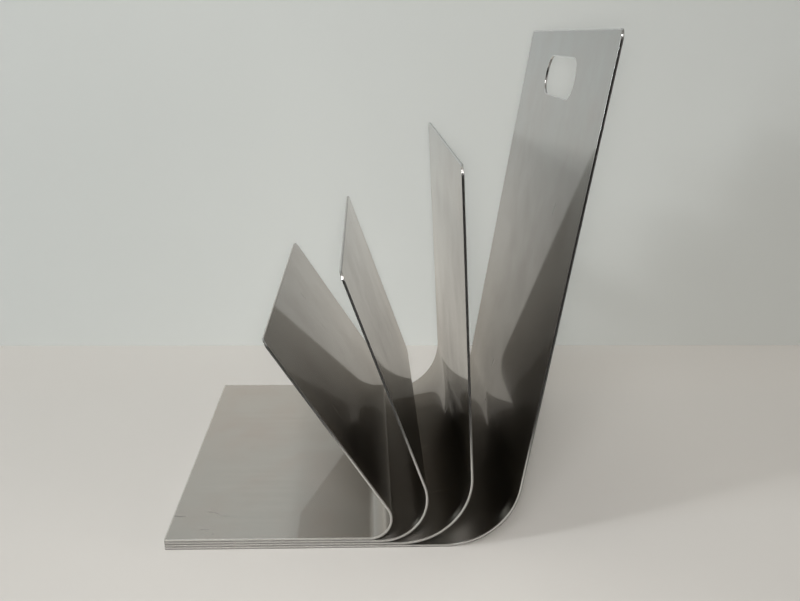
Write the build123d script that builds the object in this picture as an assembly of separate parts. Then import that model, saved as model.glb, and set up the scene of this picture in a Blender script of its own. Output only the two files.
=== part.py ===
"""Free-standing magazine rack: four bent stainless steel leaves with their feet bonded in one stack.

Every leaf is one sheet: a flat foot, one bend and a straight blade. The feet lie flush on each other
at the back, left and right, and the blades fan out from the front of the stack, so that the gaps
between them hold magazines. The outermost leaf is the tallest, and has a grip slot.

Millimetres, +Z up. The origin is the centre of the resting face, which is the underside of the
lowest foot. +X runs from the free ends of the feet towards the bends, and Y along the sheets.
"""

from build123d import *
import os

os.makedirs("parts", exist_ok=True)

# --- Sheet and bonding film ------------------------------------------------------------------
sheet_thickness = 1.5
rack_depth = 240.0  # length of every sheet along Y
blade_corner_radius = 6.0
foot_corner_radius = 1.5
film_thickness = 0.3
film_margin = 3.0  # how far a film stays back from the edges of the foot above it

# --- Feet: the inner foot, then how much further each next foot runs before its bend -----------
inner_foot_length = 127.5
second_foot_step = 7.0
third_foot_step = 12.5
grip_foot_step = 28.0

# --- Bends: the inner leaf's inside radius, then the room between each bend and the next one ------
inner_inside_radius = 13.0
second_bend_room = 13.5
third_bend_room = 13.5
grip_bend_room = 1.5

# --- Lean: the grip leaf's blade from upright, then the angle by which each pocket opens ----------
grip_lean = 8.0
outer_pocket_angle = 12.0
middle_pocket_angle = 16.5
inner_pocket_angle = 13.0

# --- Straight length of each blade above its bend ---------------------------------------------------
inner_blade_length = 133.5
second_blade_length = 145.5
third_blade_length = 191.5
grip_blade_length = 274.5

# --- Grip slot in the tallest blade -----------------------------------------------------------------
slot_length = 84.0
slot_height = 26.0
slot_inset = 17.5  # from the blade's top edge to the slot

# --- Sizes that follow ------------------------------------------------------------------------------
stack_pitch = sheet_thickness + film_thickness

second_foot_length = inner_foot_length + second_foot_step
third_foot_length = second_foot_length + third_foot_step
grip_foot_length = third_foot_length + grip_foot_step

second_inside_radius = inner_inside_radius + sheet_thickness + second_bend_room
third_inside_radius = second_inside_radius + sheet_thickness + third_bend_room
grip_inside_radius = third_inside_radius + sheet_thickness + grip_bend_room

grip_bend_angle = 90.0 - grip_lean
third_bend_angle = grip_bend_angle + outer_pocket_angle
second_bend_angle = third_bend_angle + middle_pocket_angle
inner_bend_angle = second_bend_angle + inner_pocket_angle

foot_end_x = -grip_foot_length / 2  # the free ends of all four feet are flush here


def bent_sheet(layer, foot_length, inside_radius, bend_angle, blade_length):
    """One leaf. layer counts the sheets under its foot, from 0 for the lowest."""
    foot_top = layer * stack_pitch + sheet_thickness
    with BuildPart() as sheet:
        with BuildSketch(Plane.XZ):
            with BuildLine():
                foot = Line((foot_end_x, foot_top), (foot_end_x + foot_length, foot_top))
                bend = JernArc(foot @ 1, foot % 1, inside_radius, bend_angle)
                PolarLine(bend @ 1, blade_length, direction=bend % 1)
                offset(amount=sheet_thickness, side=Side.RIGHT, closed=True)
            make_face()
        extrude(amount=rack_depth / 2, both=True)

        foot_end = sheet.faces().filter_by(Axis.X).sort_by(Axis.X)[0]
        fillet(foot_end.edges().sort_by(Edge.length)[:2], foot_corner_radius)
        fillet(blade_end(sheet.part).edges().sort_by(Edge.length)[:2], blade_corner_radius)
    return sheet.part


def blade_end(leaf):
    """The narrow face along the top of a leaf's blade."""
    return leaf.faces().sort_by(Axis.Z)[-1]


def cut_grip_slot(leaf):
    """The leaf with a round-ended slot through its blade, level with the blade's top edge."""
    top = blade_end(leaf)
    up_blade = top.normal_at()
    centre = top.center() - up_blade * (slot_inset + slot_height / 2)
    through_blade = Plane(centre, x_dir=(0, 1, 0), z_dir=up_blade.cross(Vector(0, 1, 0)))
    slot = through_blade * SlotOverall(slot_length, slot_height)
    return leaf - extrude(slot, amount=2 * sheet_thickness, both=True)


def bond_film(layer, foot_above_length):
    """The film on top of a foot. It stays inside the edges of the foot that it carries."""
    length = foot_above_length - 2 * film_margin
    corner = (foot_end_x + film_margin, 0, layer * stack_pitch + sheet_thickness)
    return Pos(*corner) * Box(
        length,
        rack_depth - 2 * film_margin,
        film_thickness,
        align=(Align.MIN, Align.CENTER, Align.MIN),
    )


nodes = {
    "inner_leaf": bent_sheet(
        3, inner_foot_length, inner_inside_radius, inner_bend_angle, inner_blade_length
    ),
    "second_leaf": bent_sheet(
        2, second_foot_length, second_inside_radius, second_bend_angle, second_blade_length
    ),
    "third_leaf": bent_sheet(
        1, third_foot_length, third_inside_radius, third_bend_angle, third_blade_length
    ),
    "grip_leaf": cut_grip_slot(
        bent_sheet(0, grip_foot_length, grip_inside_radius, grip_bend_angle, grip_blade_length)
    ),
    "upper_bond_film": bond_film(2, inner_foot_length),
    "middle_bond_film": bond_film(1, second_foot_length),
    "lower_bond_film": bond_film(0, third_foot_length),
}

for name, part in nodes.items():
    export_step(part, f"parts/{name}.step")
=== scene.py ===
"""Magazine rack of four bent stainless leaves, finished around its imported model.

Each leaf is one sheet: a flat foot, one bend and a straight blade. The feet are bonded in one
stack. Metres, +Z up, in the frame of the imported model.
"""

import math

import bpy
from bpy.props import FloatProperty, FloatVectorProperty, IntProperty, PointerProperty
from mathutils import Matrix, Vector


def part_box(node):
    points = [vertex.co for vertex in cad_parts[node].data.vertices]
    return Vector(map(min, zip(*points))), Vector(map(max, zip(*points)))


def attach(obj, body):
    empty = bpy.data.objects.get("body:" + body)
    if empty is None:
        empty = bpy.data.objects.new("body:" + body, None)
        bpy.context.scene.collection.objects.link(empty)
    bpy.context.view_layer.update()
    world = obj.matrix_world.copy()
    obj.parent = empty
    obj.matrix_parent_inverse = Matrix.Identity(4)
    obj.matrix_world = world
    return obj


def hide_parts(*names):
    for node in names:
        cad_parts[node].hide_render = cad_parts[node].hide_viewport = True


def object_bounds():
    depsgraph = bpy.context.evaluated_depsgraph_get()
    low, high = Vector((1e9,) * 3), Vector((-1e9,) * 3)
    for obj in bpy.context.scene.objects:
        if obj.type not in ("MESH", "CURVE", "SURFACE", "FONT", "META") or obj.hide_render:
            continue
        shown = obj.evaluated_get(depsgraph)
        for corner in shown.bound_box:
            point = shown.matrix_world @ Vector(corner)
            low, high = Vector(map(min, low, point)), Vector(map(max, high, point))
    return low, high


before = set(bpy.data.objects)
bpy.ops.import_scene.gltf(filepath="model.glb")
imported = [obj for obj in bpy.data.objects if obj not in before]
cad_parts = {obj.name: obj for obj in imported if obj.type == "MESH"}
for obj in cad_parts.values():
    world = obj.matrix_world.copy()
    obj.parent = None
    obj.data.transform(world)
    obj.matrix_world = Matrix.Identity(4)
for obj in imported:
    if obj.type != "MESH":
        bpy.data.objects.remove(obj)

bl_info = {
    "name": "Bent leaf magazine rack",
    "version": (1, 0, 0),
    "blender": (4, 5, 0),
    "location": "3D View > Sidebar > Rack",
    "description": "Builds the leaves, bonding films and stage of a bent sheet magazine rack",
    "category": "Object",
}

CAD_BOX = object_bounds()
BODY = "root"
POCKET_LEAVES = ("inner_leaf", "second_leaf", "third_leaf")
GRIP_LEAF = "grip_leaf"
BOND_FILMS = ("upper_bond_film", "middle_bond_film", "lower_bond_film")

# Leaves.
FIT_TOLERANCE = 0.0002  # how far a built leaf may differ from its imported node
SUPPORT_STRIP = 0.0005  # strip on each side of a bend, which keeps the flats flat when shaded
EDGE_SEGMENTS = 3  # strips round an edge break
SHARP_EDGE = math.radians(50.0)  # edges that turn further than this get an edge break
ROUND_END = 0.9999  # of half the slot's height: all of it would put two points in one place
CUTTER_PROUD = 1.5  # how far the slot cutter stands out of each side, in sheet thicknesses
SAME_POINT = 1e-6  # points closer than this are one

# Scratches.
SCRATCHED_SPOT = (0.020, 0.022)  # from the free front corner of the inner foot
SCRATCHED_SPAN = (0.024, 0.020)  # how far they spread from there
SPOT_SCRATCHES = 1.2  # share of the cells with a scratch, in the middle of the spot
STRAY_SCRATCHES = 0.004  # and away from it

# Stage.
STAGE_REACH = 1.6  # how far the floor reaches to each side, and the backdrop up
FLOOR_DROP = 0.0002  # gap between the floor and the lowest foot
CARD_LIFT = 0.001  # how far a card lies above the floor
CARD_STAND_OFF = 0.002  # how far the glowing card stands in front of the backdrop
LOW_CARD_GAP = 0.13  # from the rack to the dark card on the floor
PAINT_PATCH = 0.30  # size of the clouds in the paint of the floor and the backdrop
FRONT_CARD_Y = -1.3  # behind the camera
FRONT_CARD_TOP = 0.42
BOUNCES = 16
MIRROR_BOUNCES = 12  # many, because the leaves mirror each other

CAMERA_PLACE = (0.03536, -0.57006, 0.307)
CAMERA_RIGHT = (0.99896564, -0.04274172, 0.01551781)
CAMERA_DOWN = (0.00177668, -0.30431523, -0.95256973)
CAMERA_AHEAD = (0.04543677, 0.95161199, -0.30392451)
CAMERA_LENS, CAMERA_SENSOR = 37.30, 36.0  # millimetres

LAMPS = (
    # name, heading and height in degrees, distance, size, tint, setting of its power, what it
    # lights: the rack's reflections, the stage or both
    ("key_lamp", 257.0, 40.0, 3.0, (0.90, 1.20), (1.0, 0.995, 0.985), "key_level", "rack"),
    ("side_lamp", 200.0, 10.0, 3.0, (0.55, 0.50), (0.92, 1.0, 1.03), "side_level", "both"),
    ("top_lamp", 180.0, 80.0, 3.0, (1.10, 1.10), (1.0, 0.95, 0.86), "top_level", "both"),
    ("fill_lamp", 345.0, 8.0, 3.0, (1.30, 1.00), (1.0, 0.88, 0.76), "fill_level", "both"),
    ("soft_lamp", 257.0, 40.0, 3.0, (0.90, 1.20), (1.0, 0.995, 0.985), "soft_level", "stage"),
    ("front_lamp", 269.27, 14.8, 0.59, (0.05, 0.05), (1.0, 0.975, 0.935), "front_level", "stage"),
    ("right_lamp", 345.0, 8.0, 3.0, (1.30, 1.00), (1.0, 0.985, 0.95), "right_level", "stage"),
    ("window_lamp", 205.0, 20.0, 3.0, (0.22, 0.22), (1.0, 1.0, 1.0), "window_level", "stage"),
    ("glint_lamp", 306.0, 44.0, 3.0, (0.40, 0.40), (1.0, 1.0, 1.0), "glint_level", "rack"),
)
LAMP_SPREAD = {"front_lamp": 100.0}  # degrees
FULL_SPREAD = 180.0  # of all other lamps


# --- Settings ---------------------------------------------------------

def length(name, description, default):
    return FloatProperty(
        name=name, description=description, default=default, min=0.0,
        unit="LENGTH", subtype="DISTANCE", precision=4,
    )


def angle(name, description, degrees):
    return FloatProperty(
        name=name, description=description, default=math.radians(degrees),
        min=math.radians(10.0), max=math.radians(170.0), unit="ROTATION", subtype="ANGLE",
    )


def colour(name, description, default):
    return FloatVectorProperty(
        name=name, description=description, default=default, size=3,
        min=0.0, max=1.0, subtype="COLOR",
    )


def share(name, description, default):
    return FloatProperty(
        name=name, description=description, default=default, min=0.0, max=1.0, subtype="FACTOR",
    )


def both_sides(name, description, default, unit="NONE"):
    """Two numbers for a sheet: one for the inside of its bend and one for the outside."""
    return FloatVectorProperty(
        name=name, description=description, default=default, size=2, min=0.0, unit=unit,
    )


def level(name, description, default):
    return FloatProperty(name=name, description=description, default=default, min=0.0)


class RACK_PG_bends(bpy.types.PropertyGroup):
    """Inside radius and turn of each leaf's bend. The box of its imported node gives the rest."""

    inner_leaf_radius: length("Inner radius", "Inside radius of the inner leaf's bend", 0.013)
    inner_leaf_turn: angle("Inner turn", "How far the inner leaf is bent from flat", 123.5)
    second_leaf_radius: length("Second radius", "Inside radius of the second leaf's bend", 0.028)
    second_leaf_turn: angle("Second turn", "How far the second leaf is bent from flat", 110.5)
    third_leaf_radius: length("Third radius", "Inside radius of the third leaf's bend", 0.043)
    third_leaf_turn: angle("Third turn", "How far the third leaf is bent from flat", 94.0)
    grip_leaf_radius: length("Grip radius", "Inside radius of the grip leaf's bend", 0.046)
    grip_leaf_turn: angle("Grip turn", "How far the grip leaf is bent from flat", 82.0)


class RACK_PG_sheet(bpy.types.PropertyGroup):
    """What all four leaves have in common."""

    foot_corner_radius: length("Foot corner", "Radius of the two corners of a foot", 0.0015)
    blade_corner_radius: length("Blade corner", "Radius of the two top corners of a blade", 0.006)
    edge_break: length("Edge break", "Width of the rounding along the cut edges", 0.00018)
    bend_steps: IntProperty(
        name="Bend steps", description="Number of strips round a bend", default=72, min=8, max=200,
    )
    corner_steps: IntProperty(
        name="Corner steps", description="Number of strips round a corner", default=10,
        min=3, max=40,
    )


class RACK_PG_slot(bpy.types.PropertyGroup):
    """The round-ended slot for the hand in the tallest leaf."""

    length: length("Length", "Length of the grip slot, end to end", 0.084)
    height: length("Height", "Height of the grip slot", 0.026)
    inset: length("Inset", "From the blade's top edge to the slot", 0.0175)


class RACK_PG_finish(bpy.types.PropertyGroup):
    """Colours and gloss of the steel and of the bonding films."""

    steel_colour: colour("Steel", "Colour of the satin steel", (0.318, 0.306, 0.280))
    warm_colour: colour("Warm steel", "Colour where the steel is handled", (0.316, 0.288, 0.260))
    # Painted shade: the dark colour that the bottoms of the pockets between the leaves are blended
    # towards.
    shade_colour: colour("Dusty steel", "Colour where dust gathers", (0.15, 0.132, 0.105))
    # Painted highlight: the light colour of the strip along the edges of each sheet and its slot.
    highlight_colour: colour("Bare steel", "Colour where edges are rubbed", (0.68, 0.66, 0.63))
    steel_roughness: share("Steel haze", "Roughness of the haze that the grain gives", 0.26)
    steel_anisotropy: share("Steel stretch", "How far the grain stretches reflections", 1.0)
    gloss: share("Gloss", "How much clear reflection lies over the haze", 0.77)
    gloss_roughness: share("Gloss roughness", "Roughness of the clear reflection", 0.05)
    gloss_index: level("Gloss index", "High, so that the gloss is even at all angles", 2.4)
    line_width: length("Line width", "Width of the brushed lines", 0.0005)
    line_length: length("Line length", "Length of the brushed lines", 0.045)
    line_depth: length("Line depth", "Depth of the brushed lines", 0.000004)
    patch_size: length("Patch size", "Size of the cloudy patches left by handling", 0.052)
    # Painted shade in the pockets, per leaf and per face: how dark it is, and how far up the blade
    # it reaches.
    inner_leaf_dust: both_sides("Inner dust", "How much dust the inner leaf holds", (0.9, 0.5))
    inner_leaf_reach: both_sides(
        "Inner reach", "How far up the inner blade dust gathers", (0.160, 0.065), "LENGTH",
    )
    second_leaf_dust: both_sides("Second dust", "How much dust the second leaf holds", (1.0, 1.0))
    second_leaf_reach: both_sides(
        "Second reach", "How far up the second blade dust gathers", (0.080, 0.150), "LENGTH",
    )
    third_leaf_dust: both_sides("Third dust", "How much dust the third leaf holds", (0.8, 1.0))
    third_leaf_reach: both_sides(
        "Third reach", "How far up the third blade dust gathers", (0.095, 0.300), "LENGTH",
    )
    grip_leaf_dust: both_sides("Grip dust", "How much dust the grip leaf holds", (1.0, 1.0))
    grip_leaf_reach: both_sides(
        "Grip reach", "How far up the grip blade dust gathers", (0.145, 0.145), "LENGTH",
    )
    # Width of the painted highlight strip along the edges.
    highlight_width: length("Rim width", "Width of the strip that deburring leaves along an edge", 0.0012)
    edge_colour: colour("Cut edge", "Colour of the smooth band of a cut edge", (0.66, 0.655, 0.64))
    torn_colour: colour("Torn edge", "Colour of the torn band of a cut edge", (0.33, 0.32, 0.305))
    edge_roughness: share("Edge roughness", "Roughness of the cut edges", 0.22)
    cut_width: length("Cut width", "Width of the marks that the cut leaves", 0.00035)
    cut_length: length("Cut length", "Length of the marks that the cut leaves", 0.003)
    cut_depth: length("Cut depth", "Depth of the marks that the cut leaves", 0.000012)
    edge_patch: length("Edge patch", "Size of the cloudy patches on a cut edge", 0.012)
    film_colour: colour("Bonding film", "Colour of the bonding films", (0.035, 0.034, 0.032))
    film_roughness: share("Film roughness", "Roughness of the bonding films", 0.7)
    film_patch: length("Film patch", "Size of the cloudy patches on a film", 0.006)
    film_depth: length("Film depth", "How uneven a film is", 0.0001)


class RACK_PG_stage(bpy.types.PropertyGroup):
    """Floor, backdrop and light."""

    floor_colour: colour("Floor", "Colour of the floor", (0.645, 0.625, 0.600))
    wall_colour: colour("Backdrop", "Colour of the backdrop", (0.550, 0.566, 0.550))
    wall_gap: length("Backdrop gap", "From the back of the rack to the backdrop", 0.118)
    horizon_level: level("Surroundings", "Strength of the light from around and below", 0.10)
    sky_level: level("Sky", "How much stronger the light from overhead is", 0.15)
    key_level: level("Key lamp", "Power of the key lamp in watts", 72.0)
    side_level: level("Side lamp", "Power of the lamp on the left in watts", 35.0)
    top_level: level("Top lamp", "Power of the lamp overhead in watts", 8.0)
    fill_level: level("Fill lamp", "Power of the lamp low on the right in watts", 5.0)
    soft_level: level("Soft lamp", "Power on the stage from the key lamp's side in watts", 30.0)
    front_level: level("Front lamp", "Power on the stage from the camera's side in watts", 0.46)
    right_level: level("Right lamp", "Power on the stage from the right in watts", 27.0)
    window_level: level("Window lamp", "Power on the stage from the left in watts", 17.0)
    glint_level: level("Glint lamp", "Power of the lamp in which corners glint in watts", 4.0)
    card_colour: colour("Cards", "Colour of the dark cards in front", (0.012, 0.010, 0.009))
    sky_colour: colour("Sky colour", "Colour of the light from around", (1.0, 0.95, 0.88))
    glow_low: colour("Low glow", "Glow in the steel from low down", (0.73, 0.69, 0.615))
    glow_high: colour("High glow", "Glow in the steel from higher up", (0.525, 0.552, 0.54))
    glow_height: length("Glow height", "Height at which the high glow is reached", 0.30)


class RACK_PG_settings(bpy.types.PropertyGroup):
    """All settings of the rack."""

    bends: PointerProperty(type=RACK_PG_bends)
    sheet: PointerProperty(type=RACK_PG_sheet)
    slot: PointerProperty(type=RACK_PG_slot)
    finish: PointerProperty(type=RACK_PG_finish)
    stage: PointerProperty(type=RACK_PG_stage)


# --- Helpers ----------------------------------------------------------

def new_object(name, data):
    """A new object in the scene."""
    made = bpy.data.objects.new(name, data)
    bpy.context.scene.collection.objects.link(made)
    return made


def add_node(tree, kind, inputs=None, **settings):
    """A new node with its settings and inputs. An input is a plain value, a socket or a Sum."""
    node = tree.nodes.new(kind)
    for name, value in settings.items():
        setattr(node, name, value)
    feed_all(tree, node, inputs or {})
    return node


def feed_all(tree, node, inputs):
    """Feeds a node's inputs by name or number."""
    for key, value in inputs.items():
        feed(tree, node.inputs[key], value)


def feed(tree, socket, value):
    """Puts a plain value, a colour, another node's socket or a Sum into a socket."""
    if isinstance(value, Sum):
        value = value.socket
    if isinstance(value, bpy.types.NodeSocket):
        tree.links.new(value, socket)
    elif socket.type == "RGBA":
        socket.default_value = (*value, 1.0)
    else:
        socket.default_value = value


class Sum:
    """A number that a node tree works out, so that its arithmetic reads as arithmetic."""

    def __init__(self, tree, socket):
        self.tree, self.socket = tree, socket

    def _with(self, operation, *values):
        node = self.tree.nodes.new("ShaderNodeMath")
        node.operation = operation
        for socket, value in zip(node.inputs, values):
            feed(self.tree, socket, value)
        return Sum(self.tree, node.outputs[0])

    def __add__(self, other):
        return self._with("ADD", self, other)

    def __sub__(self, other):
        return self._with("SUBTRACT", self, other)

    def __mul__(self, other):
        return self._with("MULTIPLY", self, other)

    def __truediv__(self, other):
        return self._with("DIVIDE", self, other)

    def __radd__(self, other):
        return self._with("ADD", other, self)

    def __rsub__(self, other):
        return self._with("SUBTRACT", other, self)

    def __rmul__(self, other):
        return self._with("MULTIPLY", other, self)

    def __rtruediv__(self, other):
        return self._with("DIVIDE", other, self)

    def sine(self):
        return self._with("SINE", self)

    def cosine(self):
        return self._with("COSINE", self)

    def least(self, other):
        return self._with("MINIMUM", self, other)

    def most(self, other):
        return self._with("MAXIMUM", self, other)

    def nearest_whole(self):
        return self._with("ROUND", self)

    def above(self, other):
        return self._with("GREATER_THAN", self, other)

    def size(self):
        return self._with("ABSOLUTE", self)

    def to_power(self, other):
        return self._with("POWER", self, other)

    def clamped(self):
        """Kept from 0 to 1."""
        return self.most(0.0).least(1.0)


def vector(tree, x=0.0, y=0.0, z=0.0):
    """The vector of three numbers, as a socket."""
    return add_node(tree, "ShaderNodeCombineXYZ", {"X": x, "Y": y, "Z": z}).outputs[0]


def parts_of(tree, socket):
    """The three numbers of a vector."""
    node = add_node(tree, "ShaderNodeSeparateXYZ", {0: socket})
    return [Sum(tree, out) for out in node.outputs]


# --- The leaf tree ----------------------------------------------------

LENGTH = ("NodeSocketFloat", "DISTANCE")  # type and subtype of a socket
SHARE = ("NodeSocketFloat", "FACTOR")
LEAF_INPUTS = {
    "Foot length": LENGTH,
    "Inside radius": LENGTH,
    "Turn": ("NodeSocketFloat", "ANGLE"),
    "Blade length": LENGTH,
    "Depth": LENGTH,
    "Thickness": LENGTH,
    "Foot end": LENGTH,
    "Underside": LENGTH,
    "Foot corner radius": LENGTH,
    "Blade corner radius": LENGTH,
    "Bend steps": ("NodeSocketInt", None),
    "Corner steps": ("NodeSocketInt", None),
    "Slotted": ("NodeSocketBool", None),
    "Slot length": LENGTH,
    "Slot height": LENGTH,
    "Slot inset": LENGTH,
    # Painted shade in the pockets: how dark it is on the inside and the outside of the bend, and
    # how far up the blade it reaches.
    "Dust inside": SHARE,
    "Dust outside": SHARE,
    "Dust reach inside": LENGTH,
    "Dust reach outside": LENGTH,
    "Face material": ("NodeSocketMaterial", None),
    "Edge material": ("NodeSocketMaterial", None),
}


def leaf_tree():
    """The tree that cuts a blank to its outline, bends it and cuts the slot. Built once."""
    name = "Bent leaf"
    if name in bpy.data.node_groups:
        return bpy.data.node_groups[name]
    tree = bpy.data.node_groups.new(name, "GeometryNodeTree")
    tree.interface.new_socket("Leaf", in_out="OUTPUT", socket_type="NodeSocketGeometry")
    for label, (kind, subtype) in LEAF_INPUTS.items():
        socket = tree.interface.new_socket(label, in_out="INPUT", socket_type=kind)
        if subtype:
            socket.subtype = subtype
    given = tree.nodes.new("NodeGroupInput").outputs
    value = {label: Sum(tree, given[label]) for label in LEAF_INPUTS}

    bent = bend_blank(tree, value)
    cut = add_node(
        tree, "GeometryNodeMeshBoolean", {0: bent, 1: slot_cutter(tree, value)},
        operation="DIFFERENCE", solver="EXACT",
    )
    chosen = add_node(
        tree, "GeometryNodeSwitch",
        {"Switch": value["Slotted"], "False": bent, "True": cut.outputs[0]},
        input_type="GEOMETRY",
    )
    measured = measure_sheet(tree, chosen.outputs[0], value)
    real = add_node(tree, "GeometryNodeRealizeInstances", {0: measured})
    faces = add_node(
        tree, "GeometryNodeSetMaterial",
        {"Geometry": real.outputs[0], "Material": value["Face material"]},
    )
    edges = add_node(
        tree, "GeometryNodeSetMaterial",
        {
            "Geometry": faces.outputs[0],
            "Selection": kept_number(tree, "cut_edge").above(0.5),
            "Material": value["Edge material"],
        },
    )
    feed(tree, tree.nodes.new("NodeGroupOutput").inputs[0], edges.outputs[0])
    return tree


def measure_sheet(tree, sheet, value):
    """Keeps on the mesh what the materials need to know about the sheet."""
    bend_to = value["Foot length"] + value["Inside radius"] * value["Turn"]
    whole = bend_to + value["Blade length"]
    slot_at = whole - value["Slot inset"] - value["Slot height"] / 2
    for name, number in (
        ("sheet_length", whole),
        ("bend_from", value["Foot length"]),
        ("bend_to", bend_to),
        ("slot_at", slot_at + value["Slotted"] - 1),  # a metre off where there is no slot
    ):
        sheet = store(tree, sheet, name, number, "POINT")
    outer_side = kept_number(tree, "outer_side")
    # The painted pocket shade and its reach, each for the face inside the bend and the face outside
    # it.
    for name, label in (("dust", "Dust"), ("dust_reach", "Dust reach")):
        inside, outside = value[label + " inside"], value[label + " outside"]
        number = inside + outer_side * (outside - inside)
        sheet = store(tree, sheet, name, number, "FACE")
    return sheet


def bend_blank(tree, value):
    """A flat blank with rounded corners, bent into foot, bend and blade. Returns its geometry.

    The blank starts as a unit block. Its rows along X become stations along the sheet, which are
    close together round the corners and the bend, and far apart on the flats.
    """
    foot, radius, turn = value["Foot length"], value["Inside radius"], value["Turn"]
    foot_corner, blade_corner = value["Foot corner radius"], value["Blade corner radius"]
    corner_steps, bend_steps = value["Corner steps"], value["Bend steps"]
    bend = radius * turn
    flats = 4  # the foot, the blade and a strip on each side of the bend, one row each
    all_steps = 2 * corner_steps + bend_steps + flats

    block = add_node(
        tree, "GeometryNodeMeshCube",
        {"Size": (1.0, 1.0, 1.0), "Vertices X": all_steps + 1, "Vertices Y": 2, "Vertices Z": 2},
    )
    place = tree.nodes.new("GeometryNodeInputPosition").outputs[0]
    x, y, z = parts_of(tree, place)
    row = ((x + 0.5) * all_steps).nearest_whole()

    def run(first, steps):
        """From 0 to 1 over some of the rows."""
        return ((row - first) / steps).clamped()

    # Foot corner, foot, strip, bend, strip, blade, blade corner.
    quarter = math.pi / 2
    into_foot = run(0, corner_steps) * quarter
    into_blade = run(corner_steps + bend_steps + flats, corner_steps) * quarter
    station = (
        foot_corner * (1 - into_foot.cosine())
        + run(corner_steps, 1) * (foot - SUPPORT_STRIP - foot_corner)
        + run(corner_steps + 1, 1) * SUPPORT_STRIP
        + run(corner_steps + 2, bend_steps) * bend
        + run(corner_steps + bend_steps + 2, 1) * SUPPORT_STRIP
        + run(corner_steps + bend_steps + 3, 1)
        * (value["Blade length"] - SUPPORT_STRIP - blade_corner)
        + blade_corner * into_blade.sine()
    )
    half_depth = (
        value["Depth"] / 2
        - foot_corner * (1 - into_foot.sine())
        - blade_corner * (1 - into_blade.cosine())
    )
    across = y * 2 * half_depth
    below = (0.5 - z) * value["Thickness"]  # 0 on the inside of the bend, the thickness outside

    turned = ((station - foot) / radius).most(0.0).least(turn)
    up_blade = (station - foot - bend).most(0.0)
    bend_x = value["Foot end"] + station.least(foot)
    bend_z = value["Underside"] + value["Thickness"] + radius
    bent_place = vector(
        tree,
        bend_x + (radius + below) * turned.sine() + up_blade * turn.cosine(),
        across,
        bend_z - (radius + below) * turned.cosine() + up_blade * turn.sine(),
    )

    face_way = add_node(
        tree, "GeometryNodeCaptureAttribute", {"Geometry": block.outputs["Mesh"]}, domain="FACE",
    )
    face_way.capture_items.new("VECTOR", "Way")
    feed(tree, face_way.inputs[1], tree.nodes.new("GeometryNodeInputNormal").outputs[0])
    way_x, way_y, way_z = parts_of(tree, face_way.outputs[1])
    marked = store(tree, face_way.outputs[0], "cut_edge", 1 - way_z.size().above(0.5), "FACE")
    marked = store(tree, marked, "outer_side", (way_z * -1).above(0.5), "FACE")

    on_end, on_side = way_x.size().above(0.5), way_y.size().above(0.5)
    sheet_map = vector(
        tree,
        across * (1 - on_side) + station * on_side,
        station * (1 - on_end - on_side) + below * (on_end + on_side),
    )
    mapped = store(tree, marked, "UVMap", sheet_map, "CORNER", "FLOAT2")
    return add_node(
        tree, "GeometryNodeSetPosition", {"Geometry": mapped, "Position": bent_place}
    ).outputs[0]


def slot_cutter(tree, value):
    """A block with round ends that stands through the blade where the slot goes."""
    outline = add_node(
        tree, "GeometryNodeCurvePrimitiveQuadrilateral",
        {"Width": value["Slot length"], "Height": value["Slot height"]},
    )
    rounded = add_node(
        tree, "GeometryNodeFilletCurve",
        {
            "Curve": outline.outputs[0],
            "Radius": value["Slot height"] / 2 * ROUND_END,
            "Limit Radius": True,
            "Count": 2 * value["Corner steps"],
        },
        mode="POLY",
    )
    plate = add_node(
        tree, "GeometryNodeFillCurve", {"Curve": rounded.outputs[0]}, mode="NGONS"
    ).outputs[0]
    raised = add_node(
        tree, "GeometryNodeExtrudeMesh",
        {
            "Mesh": plate,
            "Offset": vector(tree, z=1.0),
            "Offset Scale": (1 + 2 * CUTTER_PROUD) * value["Thickness"],
            "Individual": False,
        },
        mode="FACES",
    )
    under = add_node(tree, "GeometryNodeFlipFaces", {"Mesh": plate})
    joined = tree.nodes.new("GeometryNodeJoinGeometry")
    feed(tree, joined.inputs[0], raised.outputs["Mesh"])
    feed(tree, joined.inputs[0], under.outputs[0])
    closed = add_node(
        tree, "GeometryNodeMergeByDistance",
        {"Geometry": joined.outputs[0], "Distance": SAME_POINT},
    )
    marked = store(tree, closed.outputs[0], "cut_edge", 1.0, "FACE")
    x, y, z = parts_of(tree, tree.nodes.new("GeometryNodeInputPosition").outputs[0])
    start = -CUTTER_PROUD * value["Thickness"]
    mapped = store(tree, marked, "UVMap", vector(tree, x + y, z + start), "CORNER", "FLOAT2")

    turn, radius = value["Turn"], value["Inside radius"]
    up_x, up_z = turn.cosine(), turn.sine()
    up_blade = value["Blade length"] - value["Slot inset"] - value["Slot height"] / 2
    bend_x = value["Foot end"] + value["Foot length"]
    bend_z = value["Underside"] + value["Thickness"] + radius
    centre = vector(
        tree,
        bend_x + (radius + start) * up_z + up_blade * up_x,
        0.0,
        bend_z - (radius + start) * up_x + up_blade * up_z,
    )
    stand = add_node(
        tree, "FunctionNodeAxesToRotation",
        {
            "Primary Axis": vector(tree, up_z, 0.0, 0.0 - up_x),
            "Secondary Axis": (0.0, 1.0, 0.0),
        },
        primary_axis="Z", secondary_axis="X",
    )
    return add_node(
        tree, "GeometryNodeTransform",
        {"Geometry": mapped, "Translation": centre, "Rotation": stand.outputs[0]},
    ).outputs[0]


def store(tree, geometry, name, value, domain, kind="FLOAT"):
    """Keeps a number or a map on the mesh under a name. Returns the geometry socket."""
    return add_node(
        tree, "GeometryNodeStoreNamedAttribute",
        {"Geometry": geometry, "Name": name, "Value": value}, domain=domain, data_type=kind,
    ).outputs[0]


def kept_number(tree, name):
    """A number that is kept on the mesh under a name."""
    node = add_node(tree, "GeometryNodeInputNamedAttribute", {"Name": name}, data_type="FLOAT")
    return Sum(tree, node.outputs[0])


def sheet_thickness():
    """The lowest film lies on the lowest foot, so what is between their undersides is one sheet."""
    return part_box(BOND_FILMS[-1])[0].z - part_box(GRIP_LEAF)[0].z


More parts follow.
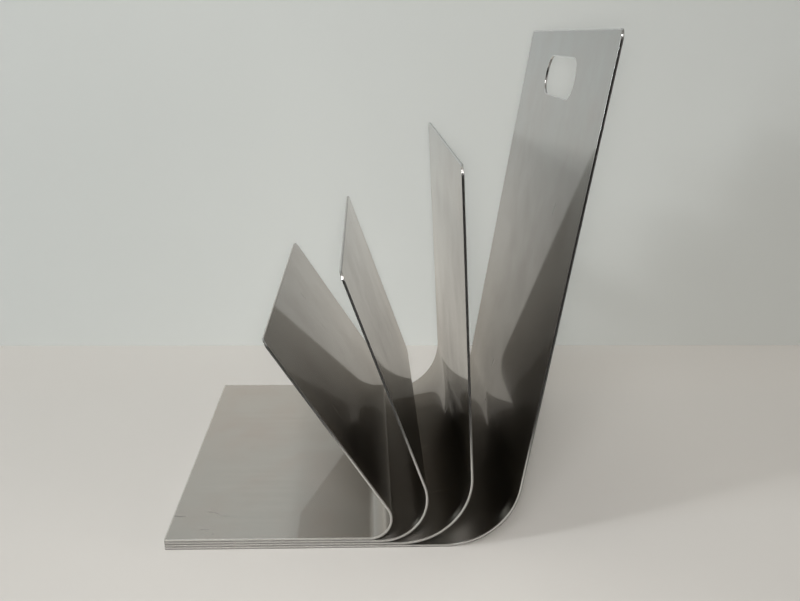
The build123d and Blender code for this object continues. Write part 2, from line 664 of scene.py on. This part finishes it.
def leaf_sizes(node, settings):
    """The tree's inputs for one leaf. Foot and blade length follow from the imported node's box."""
    low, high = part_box(node)
    thickness = sheet_thickness()
    radius = getattr(settings.bends, node + "_radius")
    turn = getattr(settings.bends, node + "_turn")
    outer = radius + thickness
    leans_back = turn > math.pi / 2
    top_radius = outer if leans_back else radius
    rise = high.z - low.z - thickness - radius + top_radius * math.cos(turn)
    blade = rise / math.sin(turn)
    if leans_back:
        foot = high.x - low.x - outer
    else:
        foot = high.x - low.x - outer * math.sin(turn) - blade * math.cos(turn)
    # The painted pocket shade of this leaf.
    dust = getattr(settings.finish, node + "_dust")
    reach = getattr(settings.finish, node + "_reach")
    return {
        "Foot length": foot,
        "Inside radius": radius,
        "Turn": turn,
        "Blade length": blade,
        "Depth": high.y - low.y,
        "Thickness": thickness,
        "Foot end": low.x,
        "Underside": low.z,
        "Foot corner radius": settings.sheet.foot_corner_radius,
        "Blade corner radius": settings.sheet.blade_corner_radius,
        "Bend steps": settings.sheet.bend_steps,
        "Corner steps": settings.sheet.corner_steps,
        "Slotted": node == GRIP_LEAF,
        "Slot length": settings.slot.length,
        "Slot height": settings.slot.height,
        "Slot inset": settings.slot.inset,
        "Dust inside": dust[0],
        "Dust outside": dust[1],
        "Dust reach inside": reach[0],
        "Dust reach outside": reach[1],
    }


def make_leaf(node, settings):
    """Builds one leaf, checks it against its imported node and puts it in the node's place."""
    steel = new_object(node + "_sheet", bpy.data.meshes.new(node + "_sheet"))
    tree = leaf_tree()
    bender = steel.modifiers.new("Bent leaf", "NODES")
    bender.node_group = tree
    sizes = leaf_sizes(node, settings)
    sizes["Face material"] = satin_steel(settings)
    sizes["Edge material"] = cut_steel(settings.finish)
    for item in tree.interface.items_tree:
        if item.in_out == "INPUT":
            bender[item.identifier] = sizes[item.name]
    rounding = steel.modifiers.new("Edge break", "BEVEL")
    rounding.width = settings.sheet.edge_break
    rounding.segments = EDGE_SEGMENTS
    rounding.limit_method = "ANGLE"
    rounding.angle_limit = SHARP_EDGE
    rounding.use_clamp_overlap = True
    evening = steel.modifiers.new("Even shading", "WEIGHTED_NORMAL")
    evening.keep_sharp = True

    shown = steel.evaluated_get(bpy.context.evaluated_depsgraph_get())
    plain = bpy.data.meshes.new_from_object(shown)
    steel.modifiers.clear()
    steel.data = plain
    plain.name = steel.name
    check_fit(steel, node)
    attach(steel, BODY)
    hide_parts(node)


def check_fit(piece, node):
    """Stops if a piece isn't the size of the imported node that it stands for."""
    low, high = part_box(node)
    places = [corner.co for corner in piece.data.vertices]
    for axis in range(3):
        least = min(place[axis] for place in places)
        most = max(place[axis] for place in places)
        if abs(least - low[axis]) > FIT_TOLERANCE or abs(most - high[axis]) > FIT_TOLERANCE:
            raise RuntimeError(
                f"{piece.name} spans {least:.5f} to {most:.5f} on axis {axis}, but {node} spans "
                f"{low[axis]:.5f} to {high[axis]:.5f}: correct the bend settings"
            )


# --- Materials --------------------------------------------------------

def new_material(name):
    """An empty node material, its tree and its Principled shader."""
    material = bpy.data.materials.new(name)
    material.use_nodes = True
    tree = material.node_tree
    tree.nodes.clear()
    shader = tree.nodes.new("ShaderNodeBsdfPrincipled")
    output = tree.nodes.new("ShaderNodeOutputMaterial")
    tree.links.new(shader.outputs[0], output.inputs["Surface"])
    return material, tree, shader


def sheet_place(tree):
    """The place across and along the sheet before it was bent."""
    return add_node(tree, "ShaderNodeUVMap", uv_map="UVMap").outputs[0]


def piece_place(tree):
    """The place in the piece."""
    return tree.nodes.new("ShaderNodeTexCoord").outputs["Object"]


def emboss(tree, shader, height, distance):
    """Makes a surface look raised, by the distance where the height is 1."""
    bump = add_node(
        tree, "ShaderNodeBump", {"Strength": 1.0, "Distance": distance, "Height": height},
    )
    feed(tree, shader.inputs["Normal"], bump.outputs[0])


def effect(name, inputs, outputs):
    """A shader node group, built once. Returns the group, its inputs as Sums and its output node.

    An input without a default is a place. The Sums and the output node are None when the group
    is there already.
    """
    if name in bpy.data.node_groups:
        return bpy.data.node_groups[name], None, None
    group = bpy.data.node_groups.new(name, "ShaderNodeTree")
    for label, default in inputs.items():
        kind = "NodeSocketVector" if default is None else "NodeSocketFloat"
        socket = group.interface.new_socket(label, in_out="INPUT", socket_type=kind)
        if default is not None:
            socket.default_value = default
    for label in outputs:
        group.interface.new_socket(label, in_out="OUTPUT", socket_type="NodeSocketFloat")
    given = group.nodes.new("NodeGroupInput").outputs
    value = {label: Sum(group, given[label]) for label in inputs}
    return group, value, group.nodes.new("NodeGroupOutput")


def use_effect(tree, group, inputs):
    """Places a group in a material. Returns its outputs by name, as Sums."""
    node = add_node(tree, "ShaderNodeGroup", node_tree=group)
    feed_all(tree, node, inputs)
    return {out.name: Sum(tree, out) for out in node.outputs}


def noise(tree, place, scale=1.0, detail=2.0, rough=0.5):
    """A noise value from 0 to 1 at a place."""
    node = add_node(
        tree, "ShaderNodeTexNoise",
        {"Vector": place, "Scale": scale, "Detail": detail, "Roughness": rough},
    )
    return Sum(tree, node.outputs["Fac"])


def blend(tree, amount, first, second):
    """The colour between two colours."""
    node = add_node(
        tree, "ShaderNodeMix", {0: amount, 6: first, 7: second},
        data_type="RGBA", clamp_factor=True,
    )
    return node.outputs[2]


def brushed_grain():
    """Fine lines and broader bands that run along the sheet."""
    group, value, out = effect(
        "Brushed grain",
        {"Sheet": None, "Line width": 0.0005, "Line length": 0.045},
        ("Lines", "Bands"),
    )
    if out:
        across, along, _ = parts_of(group, value["Sheet"])
        width, length = value["Line width"], value["Line length"]
        lines = noise(group, vector(group, across / width, along / length, 3.0), detail=2.0)
        # A band is about nine lines wide and four long.
        wide, long = across / width * 0.11, along / length * 0.23
        bands = noise(group, vector(group, wide, long, 8.0), detail=3.0, rough=0.6)
        feed_all(group, out, {"Lines": lines, "Bands": bands})
    return group


def handling_marks():
    """Cloudy patches, with a clearer outline where they are thick."""
    group, value, out = effect(
        "Handling marks", {"Place": None, "Patch size": 0.04}, ("Cloud", "Smudge"),
    )
    if out:
        scaled = add_node(
            group, "ShaderNodeVectorMath",
            {0: value["Place"], "Scale": 1.0 / value["Patch size"]}, operation="SCALE",
        ).outputs[0]
        cloud = noise(group, scaled, detail=4.0, rough=0.55)
        finer = noise(group, scaled, scale=3.1, detail=3.0, rough=0.6)
        smudge = ((cloud * 0.75 + finer * 0.25 - 0.5) * 5.0 + 0.4).clamped()
        feed_all(group, out, {"Cloud": cloud, "Smudge": smudge})
    return group


def patches(tree, size):
    """The handling marks of a material, in patches of a size."""
    return use_effect(tree, handling_marks(), {"Place": piece_place(tree), "Patch size": size})


def fine_scratches():
    """Short, thin scratches more or less along the sheet, at most one to a cell."""
    group, value, out = effect(
        "Fine scratches",
        {
            "Place": None,
            "Cell": 0.014,
            "Half length": 0.0055,
            "Half width": 0.0006,
            "Bow": 40.0,
            "Share": 0.3,
            "Spread": 0.5,
            "Lean": 0.22,
        },
        ("Scratch",),
    )
    if out:
        cells = add_node(
            group, "ShaderNodeTexVoronoi",
            {"Vector": value["Place"], "Scale": 1.0 / value["Cell"]},
            voronoi_dimensions="2D", feature="F1",
        )
        middle_x, middle_y, _ = parts_of(group, cells.outputs["Position"])
        x, y, _ = parts_of(group, value["Place"])
        turn, chance, strength = parts_of(group, cells.outputs["Color"])
        x, y = x - middle_x, y - middle_y
        turn = (turn - 0.5) * value["Spread"] + value["Lean"] + math.pi / 2
        along = x * turn.cosine() + y * turn.sine()
        bow = (strength - 0.5) * value["Bow"]
        aside = y * turn.cosine() - x * turn.sine() + along * along * bow
        line = (1.0 - aside.size() / value["Half width"]).most(0.0)
        ends = (1.0 - (along.size() / value["Half length"]).to_power(3.0)).most(0.0)
        chosen = value["Share"].above(chance)
        feed(group, out.inputs["Scratch"], line * ends * chosen * (0.4 + strength * 0.6))
    return group


def sheet_number(tree, name):
    """A number that the leaf tree has kept on each sheet."""
    return Sum(tree, add_node(tree, "ShaderNodeAttribute", attribute_name=name).outputs["Fac"])


def pocket_shade():
    """Painted shade in a pocket: it rises up the bend of a sheet and is darkest where its blade
    begins.
    """
    group, value, out = effect("Pocket dust", {"Sheet": None}, ("Dust",))
    if out:
        _, along, _ = parts_of(group, value["Sheet"])
        bend_from, bend_to = sheet_number(group, "bend_from"), sheet_number(group, "bend_to")
        up_bend = (along - bend_from) / (bend_to - bend_from)
        down_blade = 1.0 - (along - bend_to) / sheet_number(group, "dust_reach")
        near = up_bend.least(down_blade).clamped()
        soft = near * near * (3.0 - near * 2.0)
        feed(group, out.inputs["Dust"], soft * sheet_number(group, "dust"))
    return group


def edge_highlight():
    """A painted highlight: a strip along the outline of a sheet and of its slot, broken up by
    noise.
    """
    group, value, out = effect(
        "Worn rim",
        {
            "Sheet": None,
            "Half depth": 0.12,
            "Slot half length": 0.042,
            "Slot half height": 0.013,
            "Width": 0.0012,
        },
        ("Rim",),
    )
    if out:
        across, along, _ = parts_of(group, value["Sheet"])
        to_end = sheet_number(group, "sheet_length") - along
        to_outline = (value["Half depth"] - across.size()).least(along).least(to_end)
        slot_straight = value["Slot half length"] - value["Slot half height"]
        past_slot = (across.size() - slot_straight).most(0.0)
        from_slot = along - sheet_number(group, "slot_at")
        to_slot = (
            (past_slot * past_slot + from_slot * from_slot).to_power(0.5)
            - value["Slot half height"]
        ).size()
        breakup = noise(group, value["Sheet"], scale=160.0, detail=3.0)
        # The slot's strip is half as wide as the outline's.
        near = 1.0 - to_outline.least(to_slot * 2.0) / (value["Width"] * (0.5 + breakup))
        feed(group, out.inputs["Rim"], near.clamped())
    return group


def satin_steel(settings):
    """Satin stainless: clear reflections over a haze that the grain stretches across the sheet."""
    name = "Satin steel"
    if name in bpy.data.materials:
        return bpy.data.materials[name]
    material, tree, shader = new_material(name)
    finish, slot = settings.finish, settings.slot
    sheet = sheet_place(tree)
    grain = use_effect(tree, brushed_grain(), {
        "Sheet": sheet, "Line width": finish.line_width, "Line length": finish.line_length,
    })
    marks = patches(tree, finish.patch_size)
    scratch = use_effect(tree, fine_scratches(), {
        "Place": sheet, "Share": scratched_share(tree),
    })["Scratch"]
    # Painted highlight along the outline of the sheet and the slot.
    rim = use_effect(tree, edge_highlight(), {
        "Sheet": sheet,
        "Half depth": (CAD_BOX[1].y - CAD_BOX[0].y) / 2,
        "Slot half length": slot.length / 2,
        "Slot half height": slot.height / 2,
        "Width": finish.highlight_width,
    })["Rim"]

    # Painted shade in the pockets between the leaves: it darkens the colour and the gloss there,
    # and takes out the painted edge highlight.
    dust = use_effect(tree, pocket_shade(), {"Sheet": sheet})["Dust"]
    rim = rim * (1.0 - dust)
    clean = blend(tree, marks["Smudge"], finish.steel_colour, finish.warm_colour)
    tone = blend(tree, dust, clean, finish.shade_colour)
    streaks = grain["Bands"] * 0.15 + grain["Lines"] * 0.12 - scratch * 0.70
    streaked = add_node(
        tree, "ShaderNodeHueSaturation", {"Color": tone, "Value": 0.86 + streaks}
    ).outputs[0]
    # Painted highlight along the edges: a lighter colour here, and below less gloss and grain
    # there, as on a rubbed edge.
    highlighted = blend(tree, rim * 0.6, streaked, finish.highlight_colour)

    uneven = grain["Lines"] * 0.03 + marks["Cloud"] * 0.04 + scratch * 0.05 + rim * 0.05
    grain_way = add_node(tree, "ShaderNodeTangent", direction_type="UV_MAP", uv_map="UVMap")
    gloss = finish.gloss * (1.08 - marks["Smudge"] * 0.12)
    feed_all(tree, shader, {
        "Base Color": highlighted,
        "Metallic": 1.0,
        "Roughness": finish.steel_roughness - 0.035 + uneven,
        "Anisotropic": finish.steel_anisotropy,
        "Tangent": grain_way.outputs[0],
        "Coat Weight": (gloss - dust * 0.4 - scratch * 0.7 - rim * 0.3).clamped(),
        "Coat Roughness": finish.gloss_roughness,
        "Coat IOR": finish.gloss_index,
    })
    relief = grain["Lines"] * 0.5 + grain["Bands"] * 0.5 - scratch - rim * 0.3
    emboss(tree, shader, relief, finish.line_depth)
    return material


def scratched_share(tree):
    """How many cells hold a scratch: few, and more by the free front corner of the inner foot."""
    low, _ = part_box(POCKET_LEAVES[0])
    x, y, _ = parts_of(tree, piece_place(tree))
    away_x = (x - (low.x + SCRATCHED_SPOT[0])) / SCRATCHED_SPAN[0]
    away_y = (y - (low.y + SCRATCHED_SPOT[1])) / SCRATCHED_SPAN[1]
    near = (1.0 - away_x * away_x - away_y * away_y).most(0.0)
    return STRAY_SCRATCHES + near * SPOT_SCRATCHES


def cut_bands():
    """Across a cut edge: smooth near the face where the cut began, torn towards the other, with a
    painted shadow line along the other face.
    """
    group, value, out = effect(
        "Cut bands", {"Sheet": None, "Thickness": 0.0015}, ("Torn", "Burr"),
    )
    if out:
        _, below, _ = parts_of(group, value["Sheet"])
        depth = below / value["Thickness"]
        ragged = noise(group, value["Sheet"], scale=450.0, detail=3.0) - 0.5
        torn = ((depth - 0.55 + ragged * 0.5) * 6.0 + 0.5).clamped()
        # Painted shadow: a dark line along the other face, where the cut leaves a ridge.
        burr_shade = ((depth - 0.86) * 10.0).clamped()
        feed_all(group, out, {"Torn": torn, "Burr": burr_shade})
    return group


def cut_steel(finish):
    """The cut edges of the sheet, with the fine marks of the cut across them."""
    name = "Cut steel edge"
    if name in bpy.data.materials:
        return bpy.data.materials[name]
    material, tree, shader = new_material(name)
    sheet = sheet_place(tree)
    cuts = use_effect(tree, brushed_grain(), {
        "Sheet": sheet, "Line width": finish.cut_width, "Line length": finish.cut_length,
    })
    marks = patches(tree, finish.edge_patch)
    bands = use_effect(tree, cut_bands(), {"Sheet": sheet, "Thickness": sheet_thickness()})
    tone = blend(
        tree, bands["Torn"] * 0.8 + marks["Cloud"] * 0.3,
        finish.edge_colour, finish.torn_colour,
    )
    uneven = cuts["Lines"] * 0.10 + marks["Cloud"] * 0.04 + bands["Torn"] * 0.12
    feed_all(tree, shader, {
        # The painted shadow line darkens the edge towards the film's dark colour.
        "Base Color": blend(tree, bands["Burr"] * 0.7, tone, finish.film_colour),
        "Metallic": 1.0,
        "Roughness": finish.edge_roughness - 0.08 + uneven,
    })
    emboss(tree, shader, cuts["Lines"] + cuts["Bands"], finish.cut_depth)
    return material


def bond_film(finish):
    """The dark bonding film between two feet, slightly uneven where it was pressed out."""
    name = "Bonding film"
    if name in bpy.data.materials:
        return bpy.data.materials[name]
    material, tree, shader = new_material(name)
    marks = patches(tree, finish.film_patch)
    pale = [2.2 * part for part in finish.film_colour]
    feed_all(tree, shader, {
        "Base Color": blend(tree, marks["Smudge"] * 0.6, finish.film_colour, pale),
        "Roughness": finish.film_roughness - 0.15 + marks["Cloud"] * 0.3,
    })
    emboss(tree, shader, marks["Cloud"], finish.film_depth)
    return material


def matte(name, base):
    """A matte paint for the floor, the backdrop and the dark cards, with faint clouding."""
    material, tree, shader = new_material(name)
    marks = patches(tree, PAINT_PATCH)
    dark = [0.97 * part for part in base]
    feed_all(tree, shader, {
        "Base Color": blend(tree, marks["Cloud"], base, dark),
        "Roughness": 0.6,
        "Specular IOR Level": 0.2,
    })
    return material


def glow(stage):
    """An even glow, warm low down, which stands in for the lit floor and backdrop in the steel."""
    material, tree, shader = new_material("Glow card")
    _, _, height = parts_of(tree, piece_place(tree))
    lit = blend(tree, height / stage.glow_height, stage.glow_low, stage.glow_high)
    feed_all(tree, shader, {
        "Base Color": (0.0, 0.0, 0.0),
        "Specular IOR Level": 0.0,
        "Emission Color": lit,
        "Emission Strength": 1.0,
    })
    return material


def see_from_front_only(material):
    """Lets a camera behind the panel look through it."""
    tree = material.node_tree
    output = next(n for n in tree.nodes if n.type == "OUTPUT_MATERIAL")
    shader = output.inputs["Surface"].links[0].from_socket
    clear = tree.nodes.new("ShaderNodeBsdfTransparent").outputs[0]
    behind = tree.nodes.new("ShaderNodeNewGeometry").outputs["Backfacing"]
    mix = add_node(tree, "ShaderNodeMixShader", {0: behind, 1: shader, 2: clear})
    feed(tree, output.inputs["Surface"], mix.outputs[0])


# --- Stage ------------------------------------------------------------

def flat_panel(name, material, y_from, z_from, y_to, z_to):
    """A panel as wide as the stage, from one long edge to the other.

    It faces up where it runs back, to the front where it runs up, and to the back where it runs
    down.
    """
    corners = [
        (-STAGE_REACH, y_from, z_from), (STAGE_REACH, y_from, z_from),
        (STAGE_REACH, y_to, z_to), (-STAGE_REACH, y_to, z_to),
    ]
    mesh = bpy.data.meshes.new(name)
    mesh.from_pydata(corners, [], [(0, 1, 2, 3)])
    mesh.materials.append(material)
    panel = new_object(name, mesh)
    return panel


def lamp(name, target, heading, height, away, size, tint, power, lights):
    """A soft rectangular lamp that faces a point. It isn't seen itself.

    A lamp for the rack shows only in polished surfaces, and one for the stage only on matte ones.
    """
    heading, height = math.radians(heading), math.radians(height)
    flat = math.cos(height)
    aim = Vector((math.cos(heading) * flat, math.sin(heading) * flat, math.sin(height)))
    data = bpy.data.lights.new(name, "AREA")
    data.shape = "RECTANGLE"
    data.size, data.size_y = size
    data.energy = power
    data.color = tint
    data.spread = math.radians(LAMP_SPREAD.get(name, FULL_SPREAD))
    light = new_object(name, data)
    light.location = target + aim * away
    light.rotation_euler = (-aim).to_track_quat("-Z", "Y").to_euler()
    light.visible_camera = False
    light.visible_diffuse = lights != "rack"
    light.visible_glossy = lights != "stage"


def set_up_room(stage):
    """The floor and the backdrop, and the cards that show only in reflections."""
    low, high = CAD_BOX
    wall_y = high.y + stage.wall_gap
    floor_z = low.z - FLOOR_DROP
    card_z = floor_z + CARD_LIFT
    card_y = wall_y - CARD_STAND_OFF
    wall = matte("Backdrop", stage.wall_colour)
    see_from_front_only(wall)
    dark, lit = matte("Black card", stage.card_colour), glow(stage)
    flat_panel(
        "floor", matte("Floor", stage.floor_colour),
        -STAGE_REACH, floor_z, STAGE_REACH, floor_z,
    )
    flat_panel("backdrop", wall, wall_y, floor_z, wall_y, STAGE_REACH)
    for card in (
        flat_panel("low_card", dark, -STAGE_REACH, card_z, low.y - LOW_CARD_GAP, card_z),
        flat_panel("front_card", dark, FRONT_CARD_Y, FRONT_CARD_TOP, FRONT_CARD_Y, 0.0),
        flat_panel("glow_card", lit, card_y, floor_z, card_y, STAGE_REACH),
        flat_panel("low_glow_card", lit, high.y, card_z, wall_y, card_z),
    ):
        card.visible_camera = card.visible_diffuse = card.visible_shadow = False
        card.visible_transmission = False


def surround(scene, stage):
    """Pale light from all round, stronger from overhead."""
    world = bpy.data.worlds.new("Studio")
    world.use_nodes = True
    tree = world.node_tree
    way = tree.nodes.new("ShaderNodeTexCoord").outputs["Generated"]
    up = parts_of(tree, way)[2].most(0.0)
    feed_all(tree, tree.nodes["Background"], {
        "Color": stage.sky_colour,
        "Strength": up * stage.sky_level + stage.horizon_level,
    })
    scene.world = world


def place_camera(scene):
    """A camera in front of the rack, nearly level with its top and slightly to the right."""
    data = bpy.data.cameras.new("camera")
    data.sensor_width = CAMERA_SENSOR
    data.lens = CAMERA_LENS
    camera = new_object("camera", data)
    turn = Matrix((CAMERA_RIGHT, -Vector(CAMERA_DOWN), -Vector(CAMERA_AHEAD))).transposed()
    camera.matrix_world = Matrix.Translation(CAMERA_PLACE) @ turn.to_4x4()
    scene.camera = camera


# --- Operators --------------------------------------------------------

class RACK_OT_pocket_leaves(bpy.types.Operator):
    """Build the three leaves that divide the pockets"""

    bl_idname = "rack.pocket_leaves"
    bl_label = "Pocket leaves"

    def execute(self, context):
        for node in POCKET_LEAVES:
            make_leaf(node, context.scene.rack)
        return {"FINISHED"}


class RACK_OT_grip_leaf(bpy.types.Operator):
    """Build the tallest leaf, with the slot for the hand"""

    bl_idname = "rack.grip_leaf"
    bl_label = "Grip leaf"

    def execute(self, context):
        make_leaf(GRIP_LEAF, context.scene.rack)
        return {"FINISHED"}


class RACK_OT_bond_films(bpy.types.Operator):
    """Finish the bonding films between the feet"""

    bl_idname = "rack.bond_films"
    bl_label = "Bonding films"

    def execute(self, context):
        material = bond_film(context.scene.rack.finish)
        for node in BOND_FILMS:
            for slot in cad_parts[node].material_slots:
                slot.material = material
        return {"FINISHED"}


class RACK_OT_stage(bpy.types.Operator):
    """Set up the floor, the backdrop, the light and the camera"""

    bl_idname = "rack.stage"
    bl_label = "Stage"

    def execute(self, context):
        scene = context.scene
        stage = scene.rack.stage
        set_up_room(stage)
        middle = (CAD_BOX[0] + CAD_BOX[1]) / 2
        for name, heading, height, away, size, tint, power, lights in LAMPS:
            lamp(name, middle, heading, height, away, size, tint, getattr(stage, power), lights)
        surround(scene, stage)
        place_camera(scene)
        scene.view_settings.view_transform = "Standard"
        scene.cycles.max_bounces = BOUNCES
        scene.cycles.glossy_bounces = MIRROR_BOUNCES
        return {"FINISHED"}


class RACK_PT_panel(bpy.types.Panel):
    """Lists the steps that build the rack"""

    bl_idname = "RACK_PT_panel"
    bl_label = "Magazine rack"
    bl_space_type = "VIEW_3D"
    bl_region_type = "UI"
    bl_category = "Rack"

    def draw(self, context):
        for step in STEPS:
            self.layout.operator(step.bl_idname)


STEPS = (RACK_OT_pocket_leaves, RACK_OT_grip_leaf, RACK_OT_bond_films, RACK_OT_stage)
CLASSES = (
    RACK_PG_bends,
    RACK_PG_sheet,
    RACK_PG_slot,
    RACK_PG_finish,
    RACK_PG_stage,
    RACK_PG_settings,
    *STEPS,
    RACK_PT_panel,
)


def register():
    for cls in CLASSES:
        bpy.utils.register_class(cls)
    bpy.types.Scene.rack = PointerProperty(type=RACK_PG_settings)


def unregister():
    del bpy.types.Scene.rack
    for cls in reversed(CLASSES):
        bpy.utils.unregister_class(cls)


def main():
    """Builds the rack and its stage."""
    register()
    bpy.ops.rack.pocket_leaves()
    bpy.ops.rack.grip_leaf()
    bpy.ops.rack.bond_films()
    bpy.ops.rack.stage()


if __name__ == "__main__":
    main()
